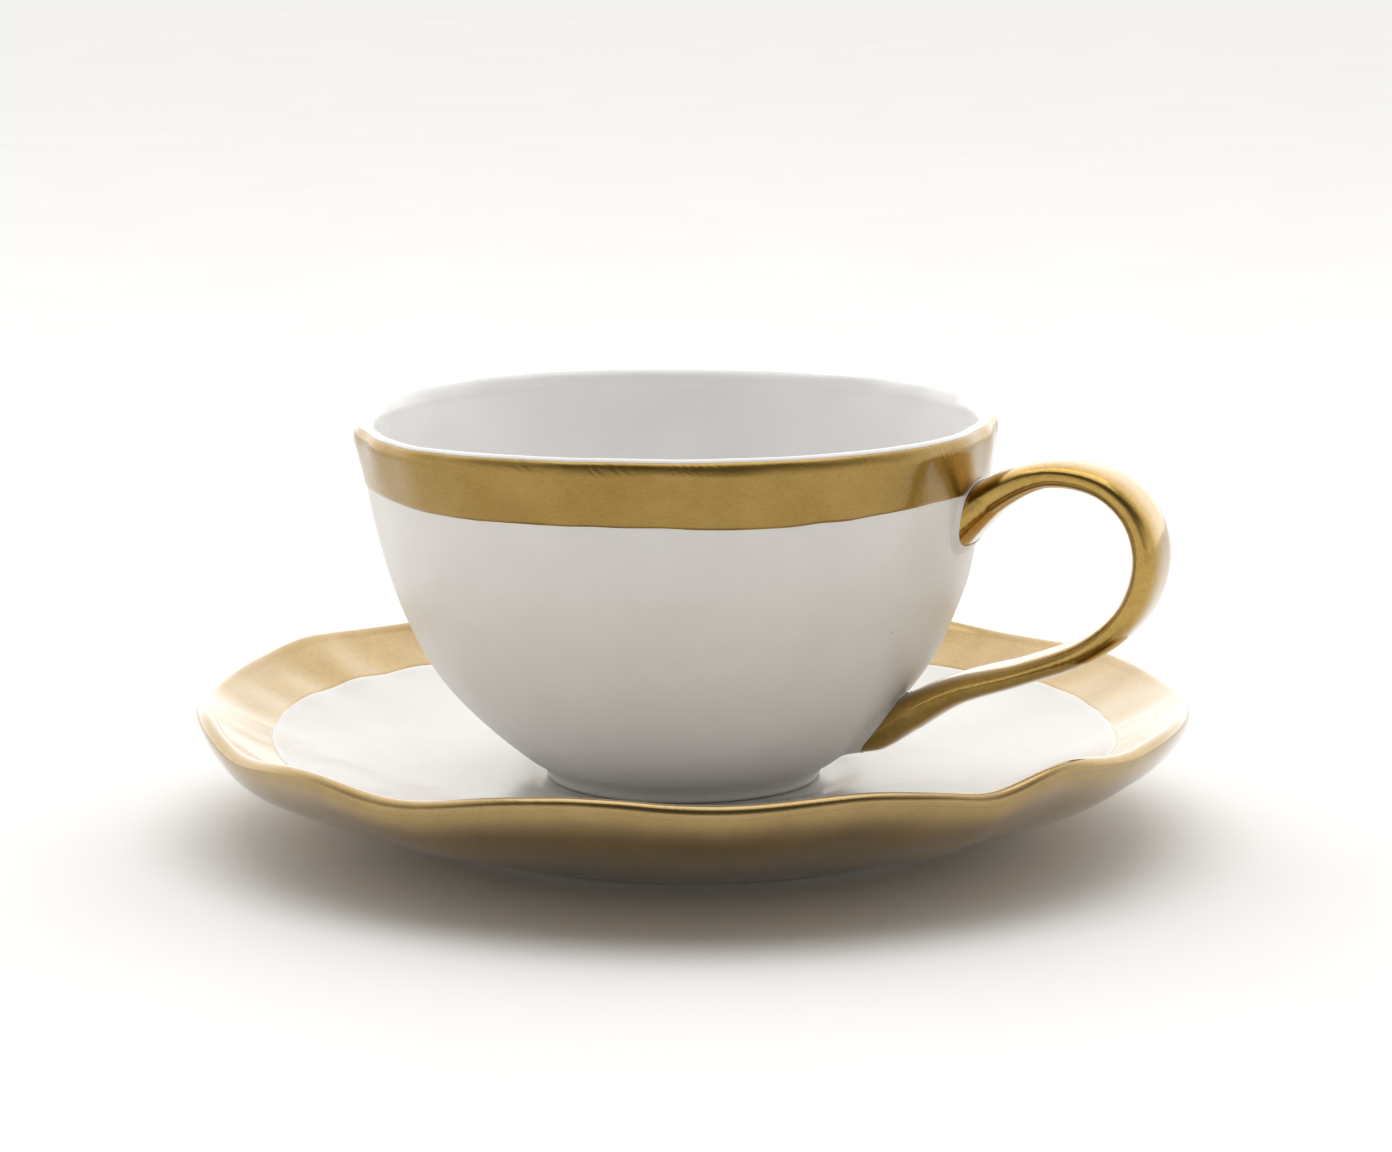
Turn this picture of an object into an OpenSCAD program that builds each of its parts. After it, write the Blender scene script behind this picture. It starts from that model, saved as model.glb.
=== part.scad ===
// Hand-formed teacup standing on its saucer, both with gilded rims.
// Millimetres, +Z up. The origin is the centre of the saucer's foot ring, on the surface it stands on.
// The cup is drawn in its own frame, whose origin is the centre of the cup's foot.

/* [Cup] */
// Outer radius of the bowl just under the lip
cup_rim_r = 52.3; // [51.4:0.1:54]
// Height from the foot to the top of the lip
cup_h = 60.2; // [58:0.1:63]
// Wall thickness at the lip
cup_wall = 2.9; // [2.6:0.1:3.4]
// Thickness of the bowl's floor
cup_floor = 4.2; // [3.6:0.1:5]
// Radius of the foot where it stands
cup_foot_r = 22.6; // [21:0.1:23]
// Height of the foot
cup_foot_h = 3.4; // [3:0.1:4]
// How far the lip leans off the foot's centre, away from the handle
cup_lean = 1.1; // [0:0.1:3]
// How far off the saucer's centre the cup stands, away from the handle
cup_shift = 1.5; // [0:0.1:2.5]

/* [Handle] */
// Turn of the handle round the cup, from +X towards -Y
handle_turn = 21; // [0:1:40]
// Width of the strap round the loop
handle_w = 12.4; // [11:0.1:13]
// Thickness of the strap round the loop
handle_t = 4; // [3.6:0.1:4.6]

/* [Saucer] */
// Largest radius of the rim
saucer_r = 81.7; // [80:0.1:83]
// Height of the rim, before its dips and rises
saucer_h = 21.6; // [20:0.1:23]
// Radius of the well that the cup stands in
well_r = 25.6; // [25:0.1:27]
// Height of the well's floor
well_z = 8.2; // [7.8:0.1:8.6]
// Depth of the well
well_depth = 1; // [0.8:0.1:1.2]
// Radius of the saucer's foot where it stands
saucer_foot_r = 41; // [40:0.1:42]
// Height of the foot ring
saucer_foot_h = 1.5; // [1.4:0.1:1.8]

/* [Coats] */
// Thickness of the white glaze
glaze_t = 0.25; // [0.2:0.05:0.3]
// Thickness of the gilding
gold_t = 0.15; // [0.1:0.05:0.2]
// Height of the gilded band round the cup
cup_band_h = 10.2; // [9.8:0.1:11.4]
// Width of the gilded rim on the saucer
saucer_band_w = 10.2; // [10:0.1:11.2]

/* [Hidden] */
around = 72;                    // facets round the bowl and the plate
strap_sides = 16;               // facets round the handle's strap
coat_gap = 0.05;                // clearance under each coat, so that no two solids share a face
rest_gap = 0.05;                // clearance between the cup's foot and the well's floor
clay = [0.93, 0.92, 0.90];
glaze = [0.97, 0.97, 0.96];
gold = [0.80, 0.62, 0.32];

// Dips and rises pressed into the saucer's rim by hand: [angle, height, spread in degrees]
rim_rises = [[12, -0.6, 16], [46, -1.0, 9], [76, 0.8, 12], [103, -0.8, 12], [147, 1.1, 9], [173, -0.9, 9],
             [192, 0.6, 6], [209, -1.6, 9], [236, -2.0, 10], [258, 0.9, 10], [288, 1.1, 9], [304, -1.0, 5],
             [316, 1.6, 6.5], [340, 0.4, 8]];
// The same for the cup's lip, and how far the lip bulges: [angle, size, spread in degrees]
lip_rises = [[215, -0.9, 26], [20, 0.5, 50], [120, 0.4, 30]];
lip_bulges = [[214, 0.5, 16], [262, -0.5, 22], [318, 0.4, 20], [95, -0.5, 30]];
// Uneven painted edges of the gilding: [angle, size, spread in degrees]
band_edge = [[197, -0.4, 18], [240, 0.2, 20], [282, 0.5, 16], [318, -0.5, 14], [350, -0.9, 20],
             [90, 0.5, 40]];
rim_edge = [[30, 1.0, 18], [75, -0.8, 16], [122, 1.0, 16], [162, 0.9, 12], [190, -0.9, 12], [300, 0.8, 25]];

function total(list, i = 0) = i < len(list) ? list[i] + total(list, i + 1) : 0;
function turn_between(a, b) = (((a - b) % 360 + 540) % 360) - 180;
// Sum of smooth bumps round the part at one angle
function bumps(list, angle) = total([for (b = list) b[1] * exp(-pow(turn_between(angle, b[0]) / b[2], 2))]);
// A point on a cubic Bezier curve
function bezier(p, t) = pow(1 - t, 3) * p[0] + 3 * t * pow(1 - t, 2) * p[1] + 3 * t * t * (1 - t) * p[2]
                        + pow(t, 3) * p[3];
function curve(p, first, last, steps) = [for (i = [0:steps]) bezier(p, first + (last - first) * i / steps)];
function unit(v) = v / norm(v);
// An outline moved sideways by d, to its left as it runs
function beside(path, d) = [for (i = [0:len(path) - 1])
    let (a = path[max(i - 1, 0)], b = path[min(i + 1, len(path) - 1)], n = unit([a[1] - b[1], b[0] - a[0]]))
    path[i] + d * n];
function part_of(list, first, last) = [for (i = [first:last]) list[i]];
function reversed(list) = [for (i = [len(list) - 1:-1:0]) list[i]];

// Solid whose closed outline is carried all the way round, so that it has a hole in the middle
module ring_solid(sections) {
    n = len(sections);
    m = len(sections[0]);
    faces = [for (i = [0:n - 1], j = [0:m - 1])
        let (next = (i + 1) % n, ahead = (j + 1) % m, a = i * m + j, b = i * m + ahead, c = next * m + j,
             d = next * m + ahead)
        each [[a, b, c], [b, d, c]]];
    polyhedron([for (s = sections) each s], faces);
}

// Solid whose outline starts and ends on a pole: first, the outline carried round, last
module poled_solid(sections, first, last) {
    n = len(sections);
    m = len(sections[0]);
    sides = [for (i = [0:n - 1], j = [0:m - 2])
        let (a = i * m + j, c = ((i + 1) % n) * m + j) each [[a, a + 1, c + 1], [a, c + 1, c]]];
    caps = [for (i = [0:n - 1])
        let (a = i * m, c = ((i + 1) % n) * m) each [[n * m, a, c], [n * m + 1, c + m - 1, a + m - 1]]];
    polyhedron([for (s = sections) each s, first, last], concat(sides, caps));
}

// ---- Saucer ----
under_z = 3.8;                  // height of the recess inside the foot ring
under_r = 36.5;                 // radius of the recess
ring_inner_r = 38;              // where the foot ring joins the plate, inside and outside
ring_outer_r = 45.5;
lip_z = saucer_h - 2.1;         // widest level of the rim
crest_r = saucer_r - 1.6;       // radius of the rim's highest line
calm_r = 48;                    // the waves of the rim start outside this radius
under_curve = [[ring_outer_r, saucer_foot_h], [56.8, 5], [saucer_r - 1.2, 11.6], [saucer_r - 0.2, lip_z]];
slope_curve = [[well_r + 5, well_z + well_depth], [well_r + 30, well_z + well_depth], [crest_r - 12, 13.4],
               [crest_r - 1.6, saucer_h - 1.2]];
// Outline of the clay plate from its underside's centre, round the rim, to the well's centre
plate_under = concat([[under_r, under_z], [ring_inner_r, saucer_foot_h]], curve(under_curve, 0, 1, 8));
plate_rim = [[saucer_r - 0.5, saucer_h - 0.8], [crest_r + 0.6, saucer_h - 0.1],
             [crest_r - 0.4, saucer_h - 0.05]];
plate_top = reversed(curve(slope_curve, 0, 1, 9));
plate_well = [[well_r + 1.6, well_z + well_depth * 0.85], [well_r, well_z + well_depth * 0.35],
              [well_r - 1.6, well_z]];
plate_path = concat(plate_under, plate_rim, plate_top, plate_well);
gold_from = 2;                  // first station of the gilding, beside the foot ring
top_from = len(plate_under) + len(plate_rim);   // first station of the slope down to the well
function saucer_point(p, angle) =
    let (w = pow(max(0, min(1.1, (p[0] - calm_r) / (crest_r - calm_r))), 1.6))
    [p[0] * cos(angle), p[0] * sin(angle), p[1] + w * bumps(rim_rises, angle)];
function saucer_section(path, i) = [for (p = path) saucer_point(p, 360 * i / around)];

module saucer_plate() {
    color(clay)
    poled_solid([for (i = [0:around - 1]) saucer_section(plate_path, i)], [0, 0, under_z], [0, 0, well_z]);
}

module saucer_foot_ring() {
    color(clay)
    rotate_extrude($fn = 180)
    polygon([[saucer_foot_r - 2.2, 0], [saucer_foot_r, 0], [saucer_foot_r + 1, 0.3],
             [ring_outer_r - 0.6, saucer_foot_h], [ring_inner_r + 0.1, saucer_foot_h],
             [saucer_foot_r - 2.6, 0.4]]);
}

// Where the white glaze meets the gilded rim, and the height of the plate there
function rim_edge_r(angle) = crest_r - saucer_band_w + bumps(rim_edge, angle);
top_heights = reversed(plate_top);
function plate_edge(angle) = [rim_edge_r(angle), lookup(rim_edge_r(angle), top_heights)];
function coat_section(path, low, high) = concat(reversed(beside(path, -low)), beside(path, -high));

module saucer_glaze() {
    edge_from = top_from + 3;   // first whole station inside the edge of the gilding
    last = len(plate_path) - 1;
    low = coat_gap;
    high = coat_gap + glaze_t;
    sections = [for (i = [0:around - 1])
        let (path = concat([plate_edge(360 * i / around)], part_of(plate_path, edge_from, last)))
        saucer_section(coat_section(path, low, high), i)];
    color(glaze)
    poled_solid(sections, [0, 0, well_z + low], [0, 0, well_z + high]);
}

module saucer_gold_rim() {
    edge_to = top_from + 2;     // last whole station of the gilding on the plate's top
    whole = part_of(plate_path, len(plate_under) - 1, edge_to);
    color(gold)
    ring_solid([for (i = [0:around - 1])
        let (path = concat(whole, [plate_edge(360 * i / around)]))
        saucer_section(coat_section(path, coat_gap, coat_gap + gold_t), i)]);
}

module saucer_gold_underside() {
    path = part_of(plate_path, gold_from, len(plate_under) - 1);
    outline = coat_section(path, coat_gap, coat_gap + gold_t);
    color(gold)
    ring_solid([for (i = [0:around - 1]) saucer_section(outline, i)]);
}

// ---- Cup ----
lip_h = 2.4;                    // height of the rounded lip
wall_top = cup_h - lip_h;
foot_top_r = cup_foot_r + 2.8;  // where the bowl's wall starts
floor_z = cup_foot_h + cup_floor;
wall_curve = [[foot_top_r, cup_foot_h], [cup_rim_r - 10, 0.26 * cup_h], [cup_rim_r - 4.3, 0.475 * cup_h],
              [cup_rim_r, wall_top]];
liner_curve = [[17, floor_z], [38.6, floor_z + 1.6], [cup_rim_r - 7.3, 0.47 * cup_h],
               [cup_rim_r - cup_wall, wall_top]];
wall_steps = 12;
// Outline of the clay bowl from its underside's centre, up the wall, over the lip, to the floor's centre
bowl_wall = curve(wall_curve, 0, 1, wall_steps);
bowl_lip = [for (a = [30:30:150])
    [cup_rim_r - cup_wall / 2 * (1 - cos(a)), wall_top + lip_h * sin(a)]];
bowl_liner = reversed(curve(liner_curve, 0, 1, 8));
bowl_path = concat(bowl_wall, bowl_lip, bowl_liner);
lip_edge = len(bowl_wall) + 1;  // station where the gilding meets the white lip
function cup_wave(z) = pow(max(0, z / cup_h), 2);
function cup_axis(z) = -cup_lean * max(0, z - cup_foot_h) / (cup_h - cup_foot_h);
function cup_point(p, angle) =
    let (w = cup_wave(p[1]), r = p[0] + w * bumps(lip_bulges, angle))
    [r * cos(angle) + cup_axis(p[1]), r * sin(angle), p[1] + w * bumps(lip_rises, angle)];
function cup_section(path, i) = [for (p = path) cup_point(p, 360 * i / around)];
module place_cup() {
    translate([-cup_shift, 0, well_z + glaze_t + coat_gap + rest_gap]) children();
}

module cup_bowl() {
    color(clay)
    place_cup()
    poled_solid([for (i = [0:around - 1]) cup_section(bowl_path, i)], [0, 0, cup_foot_h], [0, 0, floor_z]);
}

module cup_foot_ring() {
    color(clay)
    place_cup()
    rotate_extrude($fn = 144)
    polygon([[cup_foot_r - 4.4, 0.4], [cup_foot_r - 4, 0], [cup_foot_r - 0.6, 0], [cup_foot_r, 0.5],
             [cup_foot_r + 0.5, cup_foot_h * 0.45], [cup_foot_r + 1.5, cup_foot_h * 0.8],
             [foot_top_r - 0.3, cup_foot_h], [cup_foot_r - 6, cup_foot_h]]);
}

module cup_liner_glaze() {
    last = len(bowl_path) - 1;
    path = part_of(bowl_path, lip_edge, last);
    low = coat_gap;
    high = coat_gap + glaze_t;
    outline = coat_section(path, low, high);
    sections = [for (i = [0:around - 1]) cup_section(outline, i)];
    color(glaze)
    place_cup()
    poled_solid(sections, [0, 0, floor_z + low], [0, 0, floor_z + high]);
}

// Height of the gilding's lower edge, and the wall's radius at a height
function band_edge_z(angle) = cup_h - cup_band_h - bumps(band_edge, angle);
wall_radii = [for (p = bowl_wall) [p[1], p[0]]];
function band_foot(angle) = [lookup(band_edge_z(angle), wall_radii), band_edge_z(angle)];

module cup_gold_band() {
    band_from = wall_steps - 1; // first whole station above the gilding's lower edge
    color(gold)
    place_cup()
    ring_solid([for (i = [0:around - 1])
        let (path = concat([band_foot(360 * i / around)], part_of(bowl_path, band_from, lip_edge)))
        cup_section(coat_section(path, coat_gap, coat_gap + gold_t), i)]);
}

// ---- Handle ----
// Middle line of the strap in the handle's own upright plane: [distance from the cup's axis, height].
// It starts and ends inside the bowl's wall.
strap_line = [[43.4, 41.2], [53.4, 49.9], [62.4, 54], [71.3, 53.1], [77.3, 48.2], [79.3, 40.8], [76.7, 32.7],
              [69.7, 26.3], [59.1, 21.8], [48.5, 18.2], [40.6, 13.9], [34, 9.4], [26, 7.1]];
// Width and thickness of the strap against the station on its middle line, as shares of those of the loop
strap_widths = [[0, 1.5], [1, 1.14], [2, 1.02], [3, 1], [8, 1], [10, 0.92], [11, 0.7], [12, 0.4]];
strap_depths = [[0, 2.2], [1, 1.38], [2, 1.02], [3, 1], [4, 1.03], [5, 1.07], [6, 1.05], [7, 0.97],
                [8, 0.92], [9, 1.08], [10, 1.38], [11, 1.2], [12, 0.5]];
strap_end = len(strap_line) - 1;
strap_steps = 34;
strap_dir = [cos(handle_turn), -sin(handle_turn)];
strap_across = [sin(handle_turn), cos(handle_turn)];
// Catmull-Rom spline through a list, and its direction
function spline(list, u) =
    let (i = max(0, min(len(list) - 2, floor(u))), t = u - i, p = list[max(0, i - 1)], q = list[i],
         r = list[i + 1], s = list[min(len(list) - 1, i + 2)])
    0.5 * (2 * q + t * (r - p) + t * t * (2 * p - 5 * q + 4 * r - s) + t * t * t * (3 * q - p - 3 * r + s));
function rounded(x) = sign(x) * pow(abs(x), 0.72);
// A point on the strap: u along it, side round it from the outer face, grown by a coat
function strap_point(u, side, grow) =
    let (c = spline(strap_line, u), d = unit(spline(strap_line, u + 0.05) - spline(strap_line, u - 0.05)),
         a = -360 * side / strap_sides,
         h = (handle_t * lookup(u, strap_depths) / 2 + grow) * rounded(cos(a)),
         w = (handle_w * lookup(u, strap_widths) / 2 + grow) * rounded(sin(a)),
         q = c + h * [-d[1], d[0]])
    [q[0] * strap_dir[0] + w * strap_across[0], q[0] * strap_dir[1] + w * strap_across[1], q[1]];
// How far a point lies outside the bowl's wall, and the same point moved straight out to a given distance
function wall_angle(p) = atan2(p[1], p[0] - cup_axis(p[2]));
function wall_r(p) =
    let (a = wall_angle(p), w = cup_wave(p[2])) lookup(p[2] - w * bumps(lip_rises, a), wall_radii)
    + w * bumps(lip_bulges, a);
function wall_clear(p) = norm([p[0] - cup_axis(p[2]), p[1]]) - wall_r(p);
function to_wall(p, clear) =
    let (a = wall_angle(p), r = wall_r(p) + clear) [r * cos(a) + cup_axis(p[2]), r * sin(a), p[2]];
// Station where one side of the strap comes out of the wall by a given distance, found by halving
function leaving(side, inside, outside, clear, n = 14) =
    let (m = (inside + outside) / 2)
    n == 0 ? m : wall_clear(strap_point(m, side, 0)) > clear ? leaving(side, inside, m, clear, n - 1)
                                                           : leaving(side, m, outside, clear, n - 1);
function upper_root(side, clear) = leaving(side, 0, 2, clear);
function lower_root(side, clear) = leaving(side, strap_end, 8.5, clear);
function strap_run(side, from, to, grow) =
    [for (i = [0:strap_steps]) strap_point(from + (to - from) * i / strap_steps, side, grow)];
function middle(points) = [for (k = [0:2]) total([for (p = points) p[k]]) / len(points)];
coat_clear = 0.3;               // the gilding stops this far from the bowl at the upper root
// The same at the lower root, where the slip is built up most under the strap
function lower_clear(side) = 1.3 + 0.9 * cos(360 * side / strap_sides);
root_depth = -1;                // the clay is pressed this far into the bowl's wall

module cup_handle() {
    sides = [for (k = [0:strap_sides - 1])
        concat([strap_point(upper_root(k, root_depth), k, 0), strap_point(upper_root(k, -seam_sunk), k, 0)],
               strap_run(k, upper_root(k, coat_clear), lower_root(k, lower_clear(k)), 0),
               [strap_point(lower_root(k, 0), k, 0), strap_point(lower_root(k, root_depth), k, 0)])];
    color(clay)
    place_cup()
    poled_solid(sides, middle([for (s = sides) s[0]]), middle([for (s = sides) s[len(s) - 1]]));
}

module handle_gilding() {
    color(gold)
    place_cup()
    ring_solid([for (k = [0:strap_sides - 1])
        let (from = upper_root(k, coat_clear), to = lower_root(k, lower_clear(k)))
        concat(reversed(strap_run(k, from, to, coat_gap)), strap_run(k, from, to, coat_gap + gold_t))]);
}

// Fillet of slip round a root: pressed into the wall beside the strap, rising a little way up it
seam_sunk = 0.3;
seam_spread = 1.1;
seam_steps = 3;
seam_gap = 0.18;                // clearance between the fillet and the gilding
function seam_section(k, sunk, station, climbed) =
    let (beside_strap = coat_gap + gold_t + seam_gap, spread = strap_point(station, k, seam_spread))
    concat([strap_point(sunk, k, beside_strap)],
           [for (i = [1:seam_steps])
               strap_point(station + (climbed - station) * i / seam_steps, k, beside_strap)],
           [to_wall(spread, seam_sunk), to_wall(spread, -seam_sunk)]);

module handle_upper_seam() {
    climb = 1.2;
    color(glaze)
    place_cup()
    ring_solid([for (k = [strap_sides - 1:-1:0])
        seam_section(k, upper_root(k, -seam_sunk), upper_root(k, 0), upper_root(k, climb))]);
}

module handle_lower_seam() {
    climb = 0.1;
    color(glaze)
    place_cup()
    ring_solid([for (k = [0:strap_sides - 1])
        seam_section(k, lower_root(k, -seam_sunk), lower_root(k, 0),
                     lower_root(k, lower_clear(k) + climb))]);
}

saucer_plate();
saucer_foot_ring();
saucer_glaze();
saucer_gold_rim();
saucer_gold_underside();
cup_bowl();
cup_foot_ring();
cup_liner_glaze();
cup_gold_band();
cup_handle();
handle_gilding();
handle_upper_seam();
handle_lower_seam();
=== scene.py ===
"""A hand-formed teacup with gilded edges on its saucer: the looks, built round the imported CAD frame.

Lengths are in millimetres until a mesh is made, in the frame of the CAD model: +Z up, origin at the
centre of the saucer's foot. Every clay body and every coat on it is swept from one outline, so the
coats follow the clay. The cup is drawn in its own frame, with its foot's centre as the origin.
"""
import math

import bmesh
import bpy
import numpy as np
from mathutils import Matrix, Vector


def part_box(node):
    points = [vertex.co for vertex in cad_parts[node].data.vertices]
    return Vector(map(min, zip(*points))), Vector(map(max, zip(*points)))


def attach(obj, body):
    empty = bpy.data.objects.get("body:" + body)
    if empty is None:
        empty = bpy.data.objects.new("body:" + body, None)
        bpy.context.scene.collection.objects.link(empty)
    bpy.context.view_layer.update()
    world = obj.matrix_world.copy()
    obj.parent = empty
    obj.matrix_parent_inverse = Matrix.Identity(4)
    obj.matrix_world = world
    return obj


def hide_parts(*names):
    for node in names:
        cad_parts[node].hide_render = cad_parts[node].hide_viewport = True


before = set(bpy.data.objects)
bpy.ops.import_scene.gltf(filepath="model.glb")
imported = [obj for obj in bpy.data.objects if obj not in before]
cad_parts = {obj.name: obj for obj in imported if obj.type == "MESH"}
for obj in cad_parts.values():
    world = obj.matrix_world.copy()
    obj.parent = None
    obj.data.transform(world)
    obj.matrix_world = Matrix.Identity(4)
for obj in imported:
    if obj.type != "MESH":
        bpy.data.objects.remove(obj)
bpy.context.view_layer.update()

MM = 0.001


# ---------------------------------------------------------------- sizes, from the frame where it holds them
def box_mm(node):
    """The low and high corners of a CAD node's box, in millimetres."""
    low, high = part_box(node)
    return np.array(low) / MM, np.array(high) / MM


PLATE_LOW, PLATE_HIGH = box_mm("saucer_plate")
FOOT_LOW, FOOT_HIGH = box_mm("cup_foot_ring")

GAP = 0.05                      # clearance under each coat
GLAZE_T = 0.25
GOLD_T = 0.15
COAT_EDGE = 0.5                 # how far in from its edge a coat reaches its full thickness
COAT_THIN = 0.25                # share of the thickness that is left at the edge
POLE_R = 1.0                    # outlines stop this far from the axis, where a fan closes the pole

SAUCER_R = PLATE_HIGH[0] + (GAP + GOLD_T)
SAUCER_H = 21.6                 # height of the rim, before its dips and rises
EDGE_ROLL_R = 1.15              # radius of the rolled edge
CREST_R = SAUCER_R - 1.6
WAVES_FROM_R = 48               # the rim's dips and rises grow from here outwards
PLATE_UNDER = PLATE_LOW[2]      # where the plate meets its foot ring
RECESS_Z = 3.8                  # underside of the plate inside the foot ring
FOOT_RING_R = 45.5              # where the gilded underside starts
WELL_R = 25.6
WELL_Z = 8.2
WELL_DEPTH = 1.0
SAUCER_BAND_W = 10.2
DENTS_R = 73.5                  # middle of the dents across the gilded slope
DENTS_SPREAD = 5.0
DENTS_SIZE = 0.045

CUP_Z = FOOT_LOW[2]             # where the cup's foot stands
CUP_FOOT_H = FOOT_HIGH[2] - CUP_Z
CUP_X = (FOOT_LOW[0] + FOOT_HIGH[0]) / 2    # the cup stands a little off the saucer's centre
CUP_FOOT_R = 22.6
FOOT_WALL = 4                   # width of the foot's standing face
FOOT_TOP_R = CUP_FOOT_R + 2.8
CUP_H = 60.2
CUP_RIM_R = 52.3                # outside, just under the lip
CUP_WALL = 2.9                  # thickness at the lip
CUP_FLOOR = 4.2
CUP_LEAN = 1.1                  # how far the lip leans away from the handle
LIP_H = 2.4
LINER_FLAT_R = 17               # flat middle of the bowl's floor
CUP_BAND_H = 10.2
GOLD_LIP = 62                   # degrees of turn over the lip where gilding gives way to white glaze

HANDLE_TURN = math.radians(21)  # round the cup, from +X towards -Y
HANDLE_W = 12.4
HANDLE_T = 4.0

# Dips and rises made by hand, each [angle, size, spread in degrees], as in the CAD model
RIM_RISES = [[12, -0.6, 16], [46, -1.0, 9], [76, 0.8, 12], [103, -0.8, 12], [147, 1.1, 9], [173, -0.9, 9],
             [192, 0.6, 6], [209, -1.6, 9], [236, -2.0, 10], [258, 0.9, 10], [288, 1.1, 9], [304, -1.0, 5],
             [316, 1.6, 6.5], [340, 0.4, 8]]
LIP_RISES = [[215, -0.9, 26], [20, 0.5, 50], [120, 0.4, 30]]
LIP_BULGES = [[214, 0.5, 16], [262, -0.5, 22], [318, 0.4, 20], [95, -0.5, 30]]
BAND_EDGE = [[197, -0.4, 18], [240, 0.2, 20], [282, 0.5, 16], [318, -0.5, 14], [350, -0.9, 20], [90, 0.5, 40]]
RIM_EDGE = [[30, 1.0, 18], [75, -0.8, 16], [122, 1.0, 16], [162, 0.9, 12], [190, -0.9, 12], [300, 0.8, 25]]


# ---------------------------------------------------------------- outlines and sweeps
def bumps(table, angle):
    """Sum of smooth bumps round the part; angle is in radians."""
    degrees = np.degrees(angle)
    total = np.zeros_like(degrees)
    for at, size, spread in table:
        away = (degrees - at + 180) % 360 - 180
        total += size * np.exp(-(away / spread) ** 2)
    return total


def bezier(points, count):
    """Points along the cubic curve that has these four control points."""
    p = np.array(points, float)
    t = np.linspace(0, 1, count)[:, None]
    return (1 - t) ** 3 * p[0] + 3 * t * (1 - t) ** 2 * p[1] + 3 * t * t * (1 - t) * p[2] + t ** 3 * p[3]


def chain(*curves):
    """Curves joined end to end, without repeating the points where they meet."""
    joined = [curves[0]]
    for curve in curves[1:]:
        met = np.allclose(joined[-1][-1], curve[0], atol=1e-6)
        joined.append(curve[1:] if met else curve)
    return np.concatenate(joined)


def beside(path, distance):
    """A path of (radius, height) moved to its right as it runs."""
    run = np.gradient(path, axis=0)
    normal = np.stack([run[:, 1], -run[:, 0]], 1)
    normal /= np.linalg.norm(normal, axis=1)[:, None]
    distance = np.asarray(distance, float)
    return path + normal * (distance[:, None] if distance.ndim else distance)


def ripple(points, wavelength, seed, terms=28):
    """Smooth unevenness of about unit size over points in space."""
    rng = np.random.default_rng(seed)
    total = np.zeros(points.shape[:-1])
    for _ in range(terms):
        direction = rng.normal(size=3)
        direction *= 2 * math.pi / (wavelength * rng.uniform(0.7, 1.5) * np.linalg.norm(direction))
        total += np.cos(points @ direction + rng.uniform(0, 2 * math.pi))
    return total * math.sqrt(2.0 / terms)


def angles_round(count):
    return np.linspace(0, 2 * math.pi, count, endpoint=False)


def mesh_object(name, points, faces):
    """A smooth-shaded object from points in millimetres, sharp only at hard corners."""
    mesh = bpy.data.meshes.new(name)
    mesh.from_pydata((np.asarray(points) * MM).tolist(), [], faces)
    work = bmesh.new()
    work.from_mesh(mesh)
    bmesh.ops.remove_doubles(work, verts=work.verts, dist=1e-7)
    bmesh.ops.recalc_face_normals(work, faces=work.faces)
    work.to_mesh(mesh)
    work.free()
    mesh.polygons.foreach_set("use_smooth", [True] * len(mesh.polygons))
    mesh.set_sharp_from_angle(angle=math.radians(50))
    piece = bpy.data.objects.new(name, mesh)
    bpy.context.scene.collection.objects.link(piece)
    return piece


def ring_solid(name, grid):
    """A solid from closed outlines, grid[section, point], carried all the way round."""
    n, m = grid.shape[:2]
    faces = [(i * m + j, i * m + (j + 1) % m, (i + 1) % n * m + (j + 1) % m, (i + 1) % n * m + j)
             for i in range(n) for j in range(m)]
    return mesh_object(name, grid.reshape(-1, 3), faces)


def poled_solid(name, grid):
    """A solid from outlines that start and end near a pole; each pole is closed by a fan to its middle."""
    n, m = grid.shape[:2]
    faces = [(i * m + j, i * m + j + 1, (i + 1) % n * m + j + 1, (i + 1) % n * m + j)
             for i in range(n) for j in range(m - 1)]
    first, last = n * m, n * m + 1
    faces += [(first, i * m, (i + 1) % n * m) for i in range(n)]
    faces += [(last, (i + 1) % n * m + m - 1, i * m + m - 1) for i in range(n)]
    points = np.concatenate([grid.reshape(-1, 3), [grid[:, 0].mean(0), grid[:, -1].mean(0)]])
    return mesh_object(name, points, faces)


def coat_outline(path, low, high, thin_start=True):
    """The closed outline of a coat between two distances from a path, which thins out at its edges."""
    reach = np.linalg.norm(np.diff(path, axis=0), axis=1)
    along = np.concatenate([[0], np.cumsum(reach)])
    edge = np.minimum(along, along[-1] - along) if thin_start else along[-1] - along
    full = np.clip(edge / COAT_EDGE, 0.0, 1.0) ** 0.5
    thick = (high - low) * (COAT_THIN + (1 - COAT_THIN) * full)
    return np.concatenate([beside(path, low)[::-1], beside(path, low + thick)])


def coat_all(paths, low, high, thin_start=True):
    """coat_outline for a path at each angle."""
    return np.stack([coat_outline(path, low, high, thin_start) for path in paths])


def all_round(path):
    """The same path at every angle."""
    return lambda angles: np.broadcast_to(path, (len(angles),) + path.shape)


# ---------------------------------------------------------------- saucer
SAUCER_AROUND = 480             # outlines round each coat


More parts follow.
